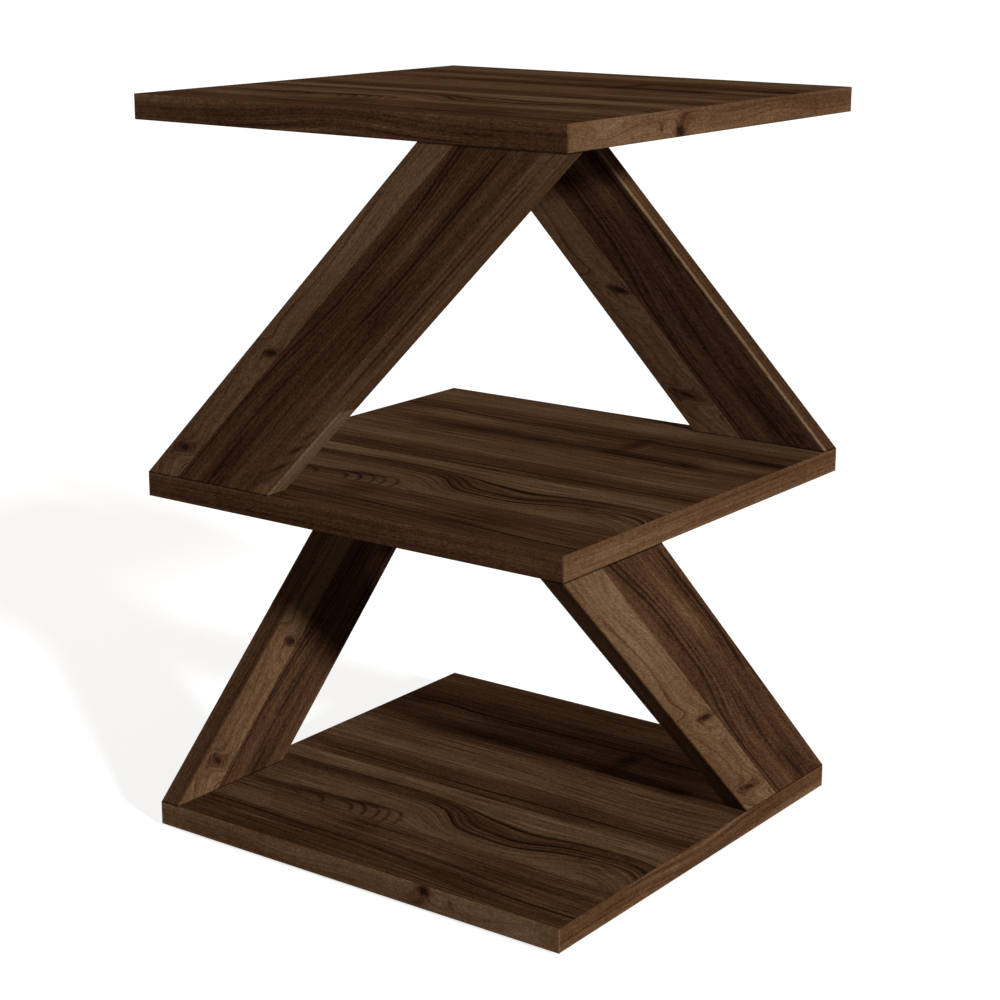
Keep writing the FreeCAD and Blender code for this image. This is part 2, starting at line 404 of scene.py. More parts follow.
def make_figure(name, width, tones, sweeps=(), curls=(), knots=(), shades=(), lines=(), arcs=(),
                seams=(), wave=1.2, fade=25):
    """Node group with the flow of the grain and the tone of one board print.

    Tones are (across, darkness). Sweeps, curls and knots come plank by plank: (begin, end, list).
    """
    tree, given, result = start_group(
        name, {"Position": "Vector"}, {"Flow": "Vector", "Darkness": "Float"}
    )
    place = given["Position"]
    parts = add(tree, "SeparateXYZ", [place]).outputs

    # No growth line is quite straight: a slow noise moves them all a little
    slow = add(tree, "Mapping", {"Vector": place, "Scale": (5, 14, 1)}).outputs[0]
    sway = add(tree, "TexNoise", {"Vector": slow, "Scale": 1.0, "Detail": 2.0}).outputs[0]
    swayed = calc(tree, "MULTIPLY_ADD", calc(tree, "SUBTRACT", sway, 0.5), 2 * wave * mm, parts["Y"])
    swept = bend(tree, swayed, place, parts["Y"], sweeps)
    curled = bend(tree, swept, place, parts["Y"], curls)
    curled, rings = grow_knots(tree, curled, place, parts["Y"], knots)

    # Planks glued side by side have nothing in common, so each gets its own depth in the noises
    plank = 0.0
    for seam in seams:
        past = calc(tree, "GREATER_THAN", parts["Y"], seam * mm)
        plank = calc(tree, "MULTIPLY_ADD", past, PLANK_DEPTH, plank)
    depth = calc(tree, "ADD", parts["Z"], plank)
    flow = add(tree, "CombineXYZ", {"X": parts["X"], "Y": curled, "Z": depth}).outputs[0]
    wire(tree, result["Flow"], flow)

    share = calc(tree, "DIVIDE", swept, width * mm)
    plain = pick_colour(tree, share, [(across / width, darkness) for across, darkness in tones])
    tone = strokes(tree, calc(tree, "ADD", plain, rings), place, shades)
    tone = draw_lines(tree, tone, flow, lines, fade)
    if arcs:
        tone = draw_arcs(tree, tone, place, seams[-1], arcs)
    wire(tree, result["Darkness"], tone)
    return tree


print("figure maker ready")

# %% [markdown]
# ## The shelf print
#
# All three shelves carry the same print with the grain from left to right. Seen from the back edge
# forward: a pale mottled stretch, a dark band with an upright smudge over it, a quiet middle with fine
# lines, a light streak, a group of lines that dips and rises round a small knot on the right, nested
# crescents on the left, and past a crisp plank seam a darker front.

# %% Shelf print
shelf_figure = make_figure(
    "shelf figure", width=370,
    tones=[
        (0, .50), (16, .36), (30, .28), (42, .36), (52, .55), (66, .60), (84, .56), (93, .48), (103, .60),
        (112, .78), (118, .76), (126, .53), (133, .36), (158, .42), (172, .30), (188, .55),
        (204, .60), (214, .46), (219, .22), (233.8, .28), (235.8, .52), (244, .58), (250, .48),
        (258, .36), (297.9, .30), (298.1, .50), (320, .50), (332, .54), (340, .60), (350, .56), (370, .59),
    ],
    sweeps=[
        (0, 298, [(208, 278, 32, 30, -16.5, 0), (263, 285, 51, 39, -32.4, 0), (330, 262, 39, 21, -9.3, 0),
                  (414, 294, 54, 44, -60, 0), (47, 66, 22, 12, 4, 0), (365, 74, 45, 16, -7, 0),
                  (20, 116, 45, 16, 4, 0), (300, 152, 85, 22, -8, 0)]),
        (298, 400, [(370, 352, 150, 30, -14, 0)]),
    ],
    curls=[(0, 298, [(335, 270, 11, 5, 5, 0), (243, 84, 12, 30, 5, 0)])],
    shades=[
        (60, 84, 60, 14, -.22, 0), (330, 84, 60, 8, .15, 0), (241, 90, 8, 22, .28, -.3),
        (253, 86, 3, 8, -.15, -.3), (307, 116, 13, 7, .28, 0), (20, 110, 60, 9, -.30, 0),
        (345, 108, 40, 12, -.25, 0), (355, 79, 25, 5, .25, 0), (160, 155, 60, 9, -.08, 0),
        (318, 265, 3.5, 6, .20, 0), (337, 266, 9, 2, .24, 0), (335, 274.5, 13, 2.2, .34, 0),
        (152, 313, 17, 15, .20, 0), (60, 318, 65, 15, -.16, 0), (70, 291, 65, 6, .20, 0),
        (270, 290, 70, 7, -.10, 0), (310, 320, 70, 22, .08, 0),
    ],
    lines=[
        (50, 1.0, 0, 300, .10), (62, .9, 0, 240, .14), (71, 1.3, 0, 400, .34), (118, .8, 210, 330, .20),
        (128, .6, 60, 200, -.10), (139, .6, 60, 200, -.10), (146, .6, 200, 370, .10),
        (153, .6, 150, 370, .12), (166, .6, 40, 370, .10), (184, .8, 30, 370, .12),
        (204, 1.1, 20, 380, .30), (208, .6, 20, 180, .15), (213.5, 1.0, 20, 220, .30),
        (213.5, .5, 200, 390, .22), (224, 1.0, 30, 190, -.08), (235.8, .45, 0, 390, .38),
        (237.6, .5, 0, 200, .20), (240.1, .5, 0, 390, .34), (241.6, .4, 150, 390, -.14),
        (243, .4, 0, 390, .14), (244.6, .5, 150, 390, -.16), (245.6, .4, 150, 390, .22),
        (246.9, .6, 120, 390, .30), (248.6, .5, 160, 390, -.10), (252, .5, 30, 200, -.12),
        (256, .5, 30, 190, -.14), (260, .5, 30, 180, .12), (336.5, 1.2, 0, 400, .26),
        (342, .8, 0, 210, .12), (351, .6, 150, 390, .08), (360, .6, 60, 390, .06),
    ],
    arcs=[
        (75, 10, 6, 20, .30), (98, 12, 10, 10, .42), (126, 14, 12.5, 60, .45), (138, 16, 16, 50, .55),
        (149, 12, 17.5, 95, .42), (158, 11, 18.5, 110, .34), (169, 13, 21, 110, .42),
    ],
    seams=[217, 298],
)
print("shelf figure uses", len(shelf_figure.nodes), "nodes")

# %% [markdown]
# ## The leg print
#
# All four legs are cut from one print too: a pale plank with two knots along one slanted edge, a crisp
# seam, a dark striped plank, and a second seam near the other edge. Places are counted from the foot of
# the upper front leg along its slant, and down from its upper edge. On the other legs the same print is
# narrower and slid along the grain as it goes across, and on two of them it runs the other way, so it is
# drawn only once and each leg places it in its own way.

# %% Leg print
leg_figure = make_figure(
    "leg figure", width=84,
    tones=[
        (0, .44), (5, .46), (9, .38), (20.8, .37), (21.2, .74), (27, .75), (33, .68), (38, .74), (44, .68),
        (50, .76), (56, .66), (62, .60), (70.4, .60), (70.8, .42), (84, .46),
    ],
    sweeps=[(21, 70.6, [(120, 40, 90, 18, 3, 0), (300, 50, 90, 18, -2, 0)])],
    curls=[
        (-9, 21, [(88, 5, 24, 8, -6, 0), (2, 8, 14, 8, -5, 0), (240, 4, 40, 6, -5, 0),
                  (330, 16, 30, 6, 5, 0)]),
        (21, 70.6, [(225, 32, 72, 9, -6, 0), (325, 32, 62, 9, -5, 0)]),
    ],
    knots=[(-9, 21, [(44, 9.8, 6.4, 5.8, .7, .62), (160.5, 15.4, 5.2, 4.3, .6, .80),
                     (143, 14.5, 13, 7.5, 0, 0)])],
    shades=[
        (43.7, 9.6, 2.0, 1.2, .16, .4), (161.4, 16.2, 2.6, 1.7, .34, .5), (157, 13.6, 4.4, 3.2, .14, .5),
        (56, 9, 9, 4.5, .14, .3), (144, 16.5, 2, 2.4, .14, .5),
        (61, 41.5, 42, 5, .14, 0), (190, 38, 70, 7, .06, 0), (310, 43, 60, 5, -.18, 0),
        (50, 33, 50, 2.2, -.14, 0), (341, 28.5, 3, 1.2, .3, 0), (107, 76, 12, 1.6, .42, .34),
        (129, 77, 11, 1.6, .38, .34), (148, 78, 10, 1.3, .26, .3), (90, 74, 14, 2, .20, .3),
        (300, 10, 60, 8, -.05, 0), (250, 62, 40, 5, .14, 0),
    ],
    lines=[
        (3.8, .9, -30, 320, .16), (7, .5, -30, 330, .05), (9.2, .5, -30, 250, -.06),
        (11.6, .5, -30, 330, .07), (13.6, .4, -30, 190, .06), (15.6, .5, -30, 330, .07),
        (17.4, .4, 60, 200, -.06), (19, .5, -30, 380, .06), (24, .5, 10, 420, .19),
        (26.6, .5, 105, 420, .16), (29.5, .5, 60, 420, .10), (34, .5, 150, 380, .08),
        (38.5, .9, 60, 230, .11), (42.5, 1.2, 30, 110, .24), (47, .6, 30, 300, .10),
        (51.5, .9, 225, 420, .34), (48.6, .5, 250, 420, .14), (55, .6, 60, 420, .10),
        (66, .6, 230, 420, .12), (73.5, .6, 250, 420, .20), (77, .7, 170, 420, .22),
        (80.5, .6, 200, 420, .15),
    ],
    seams=[21, 70.6], wave=0.8,
)
print("leg figure uses", len(leg_figure.nodes), "nodes")

# %% [markdown]
# ## The edge bands' prints
#
# Edge band comes on a roll with its own print, and each strip is cut from another stretch of it. Five
# stretches are enough here: one with a long hump in its lines, one that is plain, one with a knot, one
# that is spliced from a light and a dark length, and one with straight stripes. Places are counted from
# the strip's left end and down from its upper edge.

# %% Band prints
WHOLE = (-100, 500)      # a band is one plank, so its bends never stop
hump_figure = make_figure(
    "hump figure", width=18,
    tones=[(0, .48), (5, .52), (9, .62), (14, .58), (18, .68), (26, .60)],
    sweeps=[(*WHOLE, [(185, 10, 62, 12, 5.5, 0), (185, 2, 105, 6, 3, 0)])],
    shades=[(320, 8, 60, 8, .12, 0), (30, 3, 60, 4, -.10, 0), (185, 11, 40, 2, -.10, 0)],
    lines=[(7.5, .8, 0, 380, .10), (11, .6, 60, 330, .12), (14, .5, 80, 300, -.12),
           (16.6, .6, 60, 300, .12), (19.4, .6, 80, 290, -.14), (22, .6, 80, 290, .12)],
    wave=0.6,
)
plain_figure = make_figure(
    "plain figure", width=18,
    tones=[(0, .54), (4, .62), (8, .60), (12, .64), (16, .66), (18, .64)],
    sweeps=[(*WHOLE, [(370, 6, 80, 12, -2, 0)])],
    shades=[(340, 10, 40, 5, -.08, 0), (230, 3, 60, 3, .06, 0)],
    lines=[(3, .5, 0, 380, .06), (6, .6, 20, 250, .08), (10, .5, 90, 380, .06), (13.5, .6, 0, 300, .08)],
    wave=0.6,
)
knot_figure = make_figure(
    "knot figure", width=18,
    tones=[(0, .40), (6, .42), (12, .46), (18, .44)],
    sweeps=[(*WHOLE, [(125, 8, 40, 9, -5, 0)])],
    curls=[(*WHOLE, [(255, 2.5, 11, 9, 9, 0), (278, 8, 6, 6, 3, 0), (345, 10, 26, 12, 8, 0),
                     (240, 14, 20, 8, -3, 0)])],
    shades=[(255, 3.4, 4.6, 3.2, .60, .1), (255, 3.6, 7.5, 5, .22, 0), (249, 13, 8, 5, .26, .1),
            (278, 8, 2, 3, .34, .2), (265, 12, 14, 8, -.10, 0), (330, 9, 45, 12, -.10, 0),
            (60, 10, 60, 10, .08, 0)],
    lines=[(12.5, .5, 80, 215, .12), (9, .4, 220, 300, .12), (13, .4, 215, 300, .12),
           (12.4, .45, 295, 372, .18), (5, .4, 40, 200, .05)],
    wave=0.6,
)
spliced_figure = make_figure(
    "spliced figure", width=18,
    tones=[(0, .56), (5, .62), (11, .58), (18, .64)],
    lines=[(9, 60, -50, 181, -.26), (4, .5, -50, 500, .08), (12, .6, -50, 500, .08)],
    wave=0.6, fade=2,
)
lined_figure = make_figure(
    "lined figure", width=18,
    tones=[(0, .40), (2, .30), (4, .58), (9, .66), (18, .62)],
    lines=[(1.6, .8, -50, 500, -.12), (6, .7, -50, 500, .16), (11, .7, -50, 500, .16),
           (15, .6, -50, 500, .10)],
    wave=0.5,
)
print("band figures ready")

# %% [markdown]
# ## The grain
#
# The grain is the same in every print, only bent by the figure: wide and narrow streaks, hair-fine lines,
# short dark pores, and a faint cross ripple. Each is a noise that is stretched far along the flow and
# squeezed across it. Together they move the darkness up and down, and one colour ramp turns the darkness
# into walnut: greyish tan where it is light, red-brown in the middle, near black in the darkest lines.

# %% Grain group
def stretched_noise(tree, vector, along, across, depth=1.0, detail=2.0, seed=0.0):
    """Noise around zero with this many cells to the metre along and across the flow."""
    mapped = add(tree, "Mapping", {
        "Vector": vector, "Scale": (along, across, depth), "Location": (seed, seed, seed),
    }).outputs[0]
    noise = add(tree, "TexNoise", {"Vector": mapped, "Scale": 1.0, "Detail": detail}).outputs[0]
    return calc(tree, "SUBTRACT", noise, 0.5)


def srgb(red, green, blue):
    """Colour as a painter would name it, 0 to 255, turned into the linear values that shaders use."""
    shares = [level / 255 for level in (red, green, blue)]
    return [((share + 0.055) / 1.055) ** 2.4 if share > 0.04045 else share / 12.92 for share in shares]


WALNUT = [               # darkness and the colour there
    (0.0, srgb(118, 96, 76)), (0.25, srgb(97, 74, 54)), (0.5, srgb(78, 55, 37)), (0.75, srgb(59, 38, 25)),
    (1.0, srgb(34, 20, 13)),
]


def make_grain():
    """Group that adds streaks, hairs, ripple and pores to a darkness and turns it into walnut."""
    tree, given, result = start_group(
        "walnut grain",
        {"Flow": "Vector", "Position": "Vector", "Darkness": "Float", "Streaks": "Float",
         "Hairs": "Float", "Ripple": "Float", "Tint": "Vector"},
        {"Color": "Color", "Roughness": "Float", "Height": "Float"},
    )
    flow = given["Flow"]
    wide = stretched_noise(tree, flow, 2.5, 70, detail=2)
    narrow = stretched_noise(tree, flow, 5, 240, detail=2, seed=3.1)
    hair = stretched_noise(tree, flow, 14, 700, detail=3, seed=7.7)
    ripple = stretched_noise(tree, given["Position"], 150, 30, detail=1, seed=1.3)
    cloud = stretched_noise(tree, given["Position"], 14, 40, detail=2, seed=5.9)
    specks = stretched_noise(tree, given["Position"], 520, 900, detail=1, seed=2.4)
    pores = stretched_noise(tree, flow, 110, 2600, detail=1, seed=9.2)
    pore = add(tree, "MapRange", {"Value": pores, "From Min": 0.08, "From Max": 0.22}).outputs[0]

    streaks = calc(tree, "MULTIPLY_ADD", narrow, 0.55, calc(tree, "MULTIPLY", wide, 0.45))
    total = calc(tree, "MULTIPLY_ADD", streaks, given["Streaks"], given["Darkness"])
    total = calc(tree, "MULTIPLY_ADD", hair, given["Hairs"], total)
    total = calc(tree, "MULTIPLY_ADD", ripple, given["Ripple"], total)
    for noise, strength in ((cloud, 0.24), (specks, 0.60), (pore, 0.20)):
        total = calc(tree, "MULTIPLY_ADD", noise, strength, total)

    colour = pick_colour(tree, total, WALNUT)
    tinted = add(tree, "VectorMath", [colour, given["Tint"]], operation="MULTIPLY").outputs[0]
    wire(tree, result["Color"], tinted)
    wire(tree, result["Roughness"], calc(tree, "MULTIPLY_ADD", pore, 0.12, 0.52))
    low_pores = calc(tree, "MULTIPLY", pore, -1.0)
    wire(tree, result["Height"], calc(tree, "MULTIPLY_ADD", specks, 0.8, low_pores))
    return tree


grain = make_grain()
print("grain uses", len(grain.nodes), "nodes")

# %% [markdown]
# ## From a print to a board's material
#
# A print is flat, so each board only has to say where the print starts and which way it runs. A Mapping
# node turns the object's own coordinates into millimetres along and across the print, and a second one
# may stretch or mirror it. On a board the print covers the two faces only. In the bores and on the sawn
# ends there is bare chipboard, which a mask from the surface's own direction tells apart. A leg's ends
# are sawn level and have no band. Where a leg meets a shelf the thin gap falls into shade, and a third
# group paints that shade as a shadow: it dims the last millimetre at both heights.

# %% Print placement
def print_place(tree, origin, along, across, start=(0, 0), stretch=(1, 1), shear=0.0):
    """Position on the print, from origin along and across the grain. Shear slides it as it goes across."""
    turn = Matrix((along, across, along.cross(across)))
    own = add(tree, "TexCoord").outputs["Object"]
    turned = add(tree, "Mapping", {
        "Vector": own, "Rotation": turn.to_euler(), "Location": -(turn @ origin),
    }).outputs[0]
    placed = add(tree, "Mapping", {
        "Vector": turned, "Scale": (*stretch, 1), "Location": (start[0] * mm, start[1] * mm, 0),
    }).outputs[0]
    if not shear:
        return placed
    parts = add(tree, "SeparateXYZ", [placed]).outputs
    slid = calc(tree, "MULTIPLY_ADD", parts["Y"], shear, parts["X"])
    return add(tree, "CombineXYZ", {"X": slid, "Y": parts["Y"], "Z": parts["Z"]}).outputs[0]


print("print placement ready")

# %% Chipboard group
def make_chipboard():
    """Group that gives pressed chips, each with its own tone and height."""
    tree, given, result = start_group(
        "chipboard", {"Position": "Vector"}, {"Color": "Color", "Height": "Float"}
    )
    chips = add(tree, "TexVoronoi", {"Vector": given["Position"], "Scale": 420.0})
    parts = add(tree, "SeparateColor", [chips.outputs["Color"]]).outputs
    colour = pick_colour(tree, parts[0], [(0, srgb(142, 112, 78)), (1, srgb(196, 166, 124))])
    wire(tree, result["Color"], colour)
    wire(tree, result["Height"], parts[1])
    return tree


chipboard = make_chipboard()
print("chipboard uses", len(chipboard.nodes), "nodes")

# %% Painted joint shadow group
# Painted shadow at a leg's joints: darkest this close to a cut end, gone this far, and the share of colour
# left where darkest
SHADE_FROM = 0.3 * mm    # where a cut's dark edge is darkest, and where it ends
SHADE_TO = 1.3 * mm
SHADE_LIGHT = 0.2


def make_painted_joint_shadow():
    """Group that paints a shadow: it dims a colour next to two heights."""
    tree, given, result = start_group(
        "painted joint shadow", {"Color": "Color", "Position": "Vector", "Low": "Float", "High": "Float"},
        {"Color": "Color"},
    )
    level = add(tree, "SeparateXYZ", [given["Position"]]).outputs["Z"]
    near = calc(tree, "MINIMUM", calc(tree, "SUBTRACT", level, given["Low"]),
                calc(tree, "SUBTRACT", given["High"], level))
    light = add(tree, "MapRange", {
        "Value": near, "From Min": SHADE_FROM, "From Max": SHADE_TO, "To Min": SHADE_LIGHT,
    }).outputs[0]
    dimmed = add(tree, "VectorMath", [given["Color"], light], operation="MULTIPLY").outputs[0]
    wire(tree, result["Color"], dimmed)
    return tree


painted_joint_shadow = make_painted_joint_shadow()
print("painted joint shadow uses", len(painted_joint_shadow.nodes), "nodes")

# %% Walnut material
def new_material(name):
    """Material with its shader, ready to be fed."""
    made = bpy.data.materials.new(name)
    made.use_nodes = True
    return made, made.node_tree, made.node_tree.nodes["Principled BSDF"]


def feed_shader(tree, shader, colour, roughness, height, strength, depth):
    """Give a shader its colour and roughness, and a bump of this strength and depth."""
    wire(tree, shader.inputs["Base Color"], colour)
    wire(tree, shader.inputs["Roughness"], roughness)
    bump = add(tree, "Bump", {"Height": height, "Strength": strength, "Distance": depth}).outputs[0]
    wire(tree, shader.inputs["Normal"], bump)


def walnut_material(name, figure, place, face=None, ends=None, tone=0.0, streaks=1.0, hairs=0.7,
                    ripple=0.04, tint=(1, 1, 1)):
    """Printed walnut. A board prints the two faces that look along face, and ends are its cuts' heights."""
    made, tree, shader = new_material(name)
    position = print_place(tree, **place)
    drawn = add(tree, "Group", {"Position": position}, node_tree=figure).outputs
    wood = add(tree, "Group", {
        "Flow": drawn["Flow"], "Position": position, "Streaks": streaks, "Hairs": hairs,
        "Ripple": ripple, "Tint": tint, "Darkness": calc(tree, "ADD", drawn["Darkness"], tone),
    }, node_tree=grain).outputs
    colour, height = wood["Color"], wood["Height"]
    if face:
        own = add(tree, "TexCoord").outputs
        facing = add(tree, "VectorMath", [own["Normal"], face], operation="DOT_PRODUCT").outputs["Value"]
        printed = calc(tree, "GREATER_THAN", calc(tree, "ABSOLUTE", facing), 0.9)
        bare = add(tree, "Group", {"Position": own["Object"]}, node_tree=chipboard).outputs
        colour = add(tree, "Mix", {
            "Factor": printed, 6: bare["Color"], 7: colour,
        }, data_type="RGBA").outputs[2]
    # Painted shadow of the thin gap where a leg meets a shelf, next to the cut ends
    if ends:
        colour = add(tree, "Group", {
            "Color": colour, "Position": add(tree, "TexCoord").outputs["Object"],
            "Low": ends[0], "High": ends[1],
        }, node_tree=painted_joint_shadow).outputs[0]
    feed_shader(tree, shader, colour, wood["Roughness"], height, strength=0.25, depth=0.05 * mm)
    shader.inputs["Specular IOR Level"].default_value = 0.0
    return made


def dress(node, material):
    """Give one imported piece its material."""
    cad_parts[node].data.materials.clear()
    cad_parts[node].data.materials.append(material)


print("material maker ready")

# %% [markdown]
# ## Shelves and their bands
#
# The three shelves are the same board, so they share one material: grain from left to right, print on the
# top and the underside, bare chipboard in the bores. Their edges are hidden by glued strips. The front
# and back strips run the full width and cover the ends of the side strips. Every strip gets a material of
# its own, because each shows another stretch of the roll.

# %% Shelves
ALONG_X, ALONG_Y, UP = Vector((1, 0, 0)), Vector((0, 1, 0)), Vector((0, 0, 1))
shelf_place = {"origin": Vector((-half, half, 0)), "along": ALONG_X, "across": -ALONG_Y}
shelf_walnut = walnut_material("shelf walnut", shelf_figure, shelf_place, face=UP, tone=0.03,
                               streaks=0.5, hairs=1.3, tint=(0.99, 0.95, 0.93))
shelves = ["bottom_shelf", "middle_shelf", "top_shelf"]
for shelf in shelves:
    dress(shelf, shelf_walnut)
print("dressed", shelves)

# %% Shelf bands
# Figure, how far it starts along the roll, and change of tone: for front and back, then for right and left
band_prints = {
    "top": ((hump_figure, 0, 0.04), (knot_figure, 15, 0.02)),
    "middle": ((plain_figure, 0, 0.06), (plain_figure, 20, -0.14)),
    "bottom": ((knot_figure, 0, -0.06), (hump_figure, 0, -0.06)),
}
for shelf in shelves:
    front_print, right_print = band_prints[shelf.split("_")[0]]
    bottom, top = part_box(shelf)
    strips = {
        "front": (*front_print, Vector((-half, -half, top.z)), ALONG_X, -UP),
        "back": (*front_print, Vector((half, half, top.z)), -ALONG_X, -UP),
        "right": (*right_print, Vector((half, half, bottom.z)), -ALONG_Y, UP),
        "left": (*right_print, Vector((-half, -half, bottom.z)), ALONG_Y, UP),
    }
    for edge, (figure, start, tone, origin, along, across) in strips.items():
        strip = f"{shelf}_{edge}_band"
        strip_place = {"origin": origin, "along": along, "across": across, "start": (start, 0)}
        dress(strip, walnut_material(strip.replace("_", " "), figure, strip_place, tone=tone,
                                     streaks=0.7, hairs=0.4, ripple=0.16, tint=(1, 0.96, 0.94)))
print("dressed", len(shelves) * 4, "shelf bands")

# %% [markdown]
# ## Legs and their bands
#
# A leg is a wide plank with both ends cut level. The upper legs lie in the front and the back face and
# the lower ones in the sides, each leaning its own way, so the print has to turn with the slant. The
# angle isn't typed in: it is measured from the imported leg and its upper strip, and stays right if the
# table changes. The two upper legs stand more in shade, so their copies of the print get a darker tint:
# painted shade.

# %% Slant of a leg
def leg_ways(leg):
    """Slant of a leg, read from its board and upper band: foot, head, ways up, over and sideways."""
    board_low, board_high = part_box(leg)
    strip_low, strip_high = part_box(leg + "_over_band")
    axis = 0 if board_high.x - board_low.x > board_high.y - board_low.y else 1
    strip_level = half - board_high[axis]
    run = strip_high[axis] - strip_low[axis] - strip_level
    rise = board_high.z - board_low.z
    lean = 1 if strip_low[axis] < -half + strip_level else -1
    forward = Vector((lean, 0, 0)) if axis == 0 else Vector((0, lean, 0))
    up = (forward * run + UP * rise).normalized()
    over = (UP * run - forward * rise).normalized()
    middle = (board_low + board_high) / 2
    sideways = ALONG_Y if axis == 0 else ALONG_X
    level = sideways * middle.dot(sideways)
    foot = level - forward * half + UP * board_low.z
    head = level + forward * half + UP * board_high.z
    return foot, head, up, over, sideways


foot, head, up, over, sideways = leg_ways("upper_front_leg")
print("upper front leg runs from", [round(c / mm) for c in foot], "to", [round(c / mm) for c in head])

# %% Legs
HALF_BOARD = 9 * mm

# Tint of the leg, painted shade on the two upper legs, then figure and change of tone of its over and under
# band
leg_prints = {
    "upper_front_leg": ((0.95, 0.91, 0.92), (plain_figure, 0.0), (spliced_figure, 0.0)),
    "lower_left_leg": ((1, 1, 1), (plain_figure, 0.0), (plain_figure, 0.0)),
    "upper_back_leg": ((0.94, 0.92, 0.98), (lined_figure, 0.0), (plain_figure, 0.0)),
    "lower_right_leg": ((1, 1, 1), (plain_figure, 0.0), (plain_figure, 0.02)),
}
for leg, (tint, over_print, under_print) in leg_prints.items():
    foot, head, up, over, sideways = leg_ways(leg)
    # Heights of the cut ends, next to which a shadow is painted
    ends = (foot.z, head.z)
    if leg == "upper_front_leg":
        place = {"origin": foot, "along": up, "across": -over}
    elif leg == "lower_left_leg":
        place = {"origin": foot, "along": up, "across": -over, "start": (-9.5, 0), "stretch": (1, 0.71),
                 "shear": 0.5}
    else:
        place = {"origin": head, "along": up, "across": over, "start": (359, 0), "stretch": (1.02, 0.68),
                 "shear": 2.55}
    # The tint darkens the upper legs' copies of the print: painted shade
    dress(leg, walnut_material(leg.replace("_", " "), leg_figure, place, face=sideways, ends=ends,
                               streaks=0.6, hairs=0.52, tint=tint))
    for edge, (figure, tone) in (("over", over_print), ("under", under_print)):
        strip = f"{leg}_{edge}_band"
        strip_place = {"origin": foot - sideways * HALF_BOARD, "along": up, "across": sideways}
        dress(strip, walnut_material(strip.replace("_", " "), figure, strip_place, ends=ends, tone=tone,
                                     streaks=0.7, hairs=0.4))
    print(leg, "slants at", round(math.degrees(math.asin(up.z)), 1), "degrees")

# %% [markdown]
# ## Small hardware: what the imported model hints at
#
# Flat-pack furniture is held by screws, bolts, cams and dowels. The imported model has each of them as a
# plain turned shape at its real size, and we dress them up with what a hand can feel: threads, a hexagon
# socket, a crosshead slot, flutes, rounded rims. All of it is modelled once at the origin and then
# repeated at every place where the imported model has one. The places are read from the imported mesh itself,
# by walking from corner to corner until a whole solid has been visited.

# %% Places of repeated solids
def solid_boxes(node):
    """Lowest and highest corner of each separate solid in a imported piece."""
    shape = bmesh.new()
    shape.from_mesh(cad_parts[node].data)
    bmesh.ops.remove_doubles(shape, verts=shape.verts, dist=0.001 * mm)
    left, boxes = set(shape.verts), []
    while left:
        found = {left.pop()}
        edge_of_walk = list(found)
        while edge_of_walk:
            spot = edge_of_walk.pop()
            near = {edge.other_vert(spot) for edge in spot.link_edges} & left
            left -= near
            found |= near
            edge_of_walk += near
        lowest, highest = (Vector([pick(spot.co[axis] for spot in found) for axis in range(3)])
                           for pick in (min, max))
        boxes.append((lowest, highest))
    shape.free()
    return boxes


def stand_on(corners):
    """Matrix that stands a shape in the middle of a box's floor."""
    lowest, highest = corners
    return Matrix.Translation(((lowest.x + highest.x) / 2, (lowest.y + highest.y) / 2, lowest.z))


print("connecting screws found:", len(solid_boxes("connecting_screws")))

# %% Piece from a shape
def repeat_piece(name, shape, node, material, place=stand_on):
    """Close a shape's seams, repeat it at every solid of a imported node, and let it stand for the node."""
    bmesh.ops.remove_doubles(shape, verts=shape.verts, dist=0.002 * mm)
    bmesh.ops.recalc_face_normals(shape, faces=shape.faces)
    open_edges = sum(not edge.is_manifold for edge in shape.edges)
    single = bpy.data.meshes.new(name + " single")
    shape.to_mesh(single)
    shape.free()
    whole = bmesh.new()
    boxes = solid_boxes(node)
    for corners in boxes:
        before = len(whole.verts)
        whole.from_mesh(single)
        bmesh.ops.transform(whole, matrix=place(corners), verts=whole.verts[before:])
    mesh = bpy.data.meshes.new(name)
    whole.to_mesh(mesh)
    whole.free()
    bpy.data.meshes.remove(single)
    mesh.shade_smooth()
    mesh.set_sharp_from_angle(angle=math.radians(32))
    mesh.materials.append(material)
    piece = new_object(name, mesh)
    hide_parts(node)
    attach(piece, "root")
    print(name, "stands in", len(boxes), "places, faces:", len(mesh.polygons), "open edges:", open_edges)


print("piece maker ready")

# %% [markdown]
# ## Turning, threads and recesses
#
# Screws, bolts and glides are turned parts, so each starts as half an outline that a full spin closes. A
# thread is a small ridge that climbs while it turns: the same spin, with a step upwards. Recesses are
# drawn as a loop of edges in the end face, bridged to the rim around it and then pushed into the metal.
# Both loops need the same number of edges, which is why the hexagon and the cross are divided to the
# rim's count, and the inner loop lies a hair deeper, because the bridge can mix up the turning sense of
# two loops in one plane.

# %% Turned shapes
STEPS = 24               # edges round every turned part
DISH = 0.15 * mm         # how much deeper a recess starts than the rim around it


def turned(outline):
    """Shape spun about +Z from (radius, height) points in millimetres, open where it starts."""
    shape = bmesh.new()
    spots = [shape.verts.new((radius * mm, 0, height * mm)) for radius, height in outline]
    edges = [shape.edges.new(pair) for pair in zip(spots, spots[1:])]
    bmesh.ops.spin(
        shape, geom=spots + edges, axis=(0, 0, 1), angle=math.tau, steps=STEPS, use_merge=True,
    )
    bmesh.ops.remove_doubles(shape, verts=shape.verts, dist=0.002 * mm)
    return shape


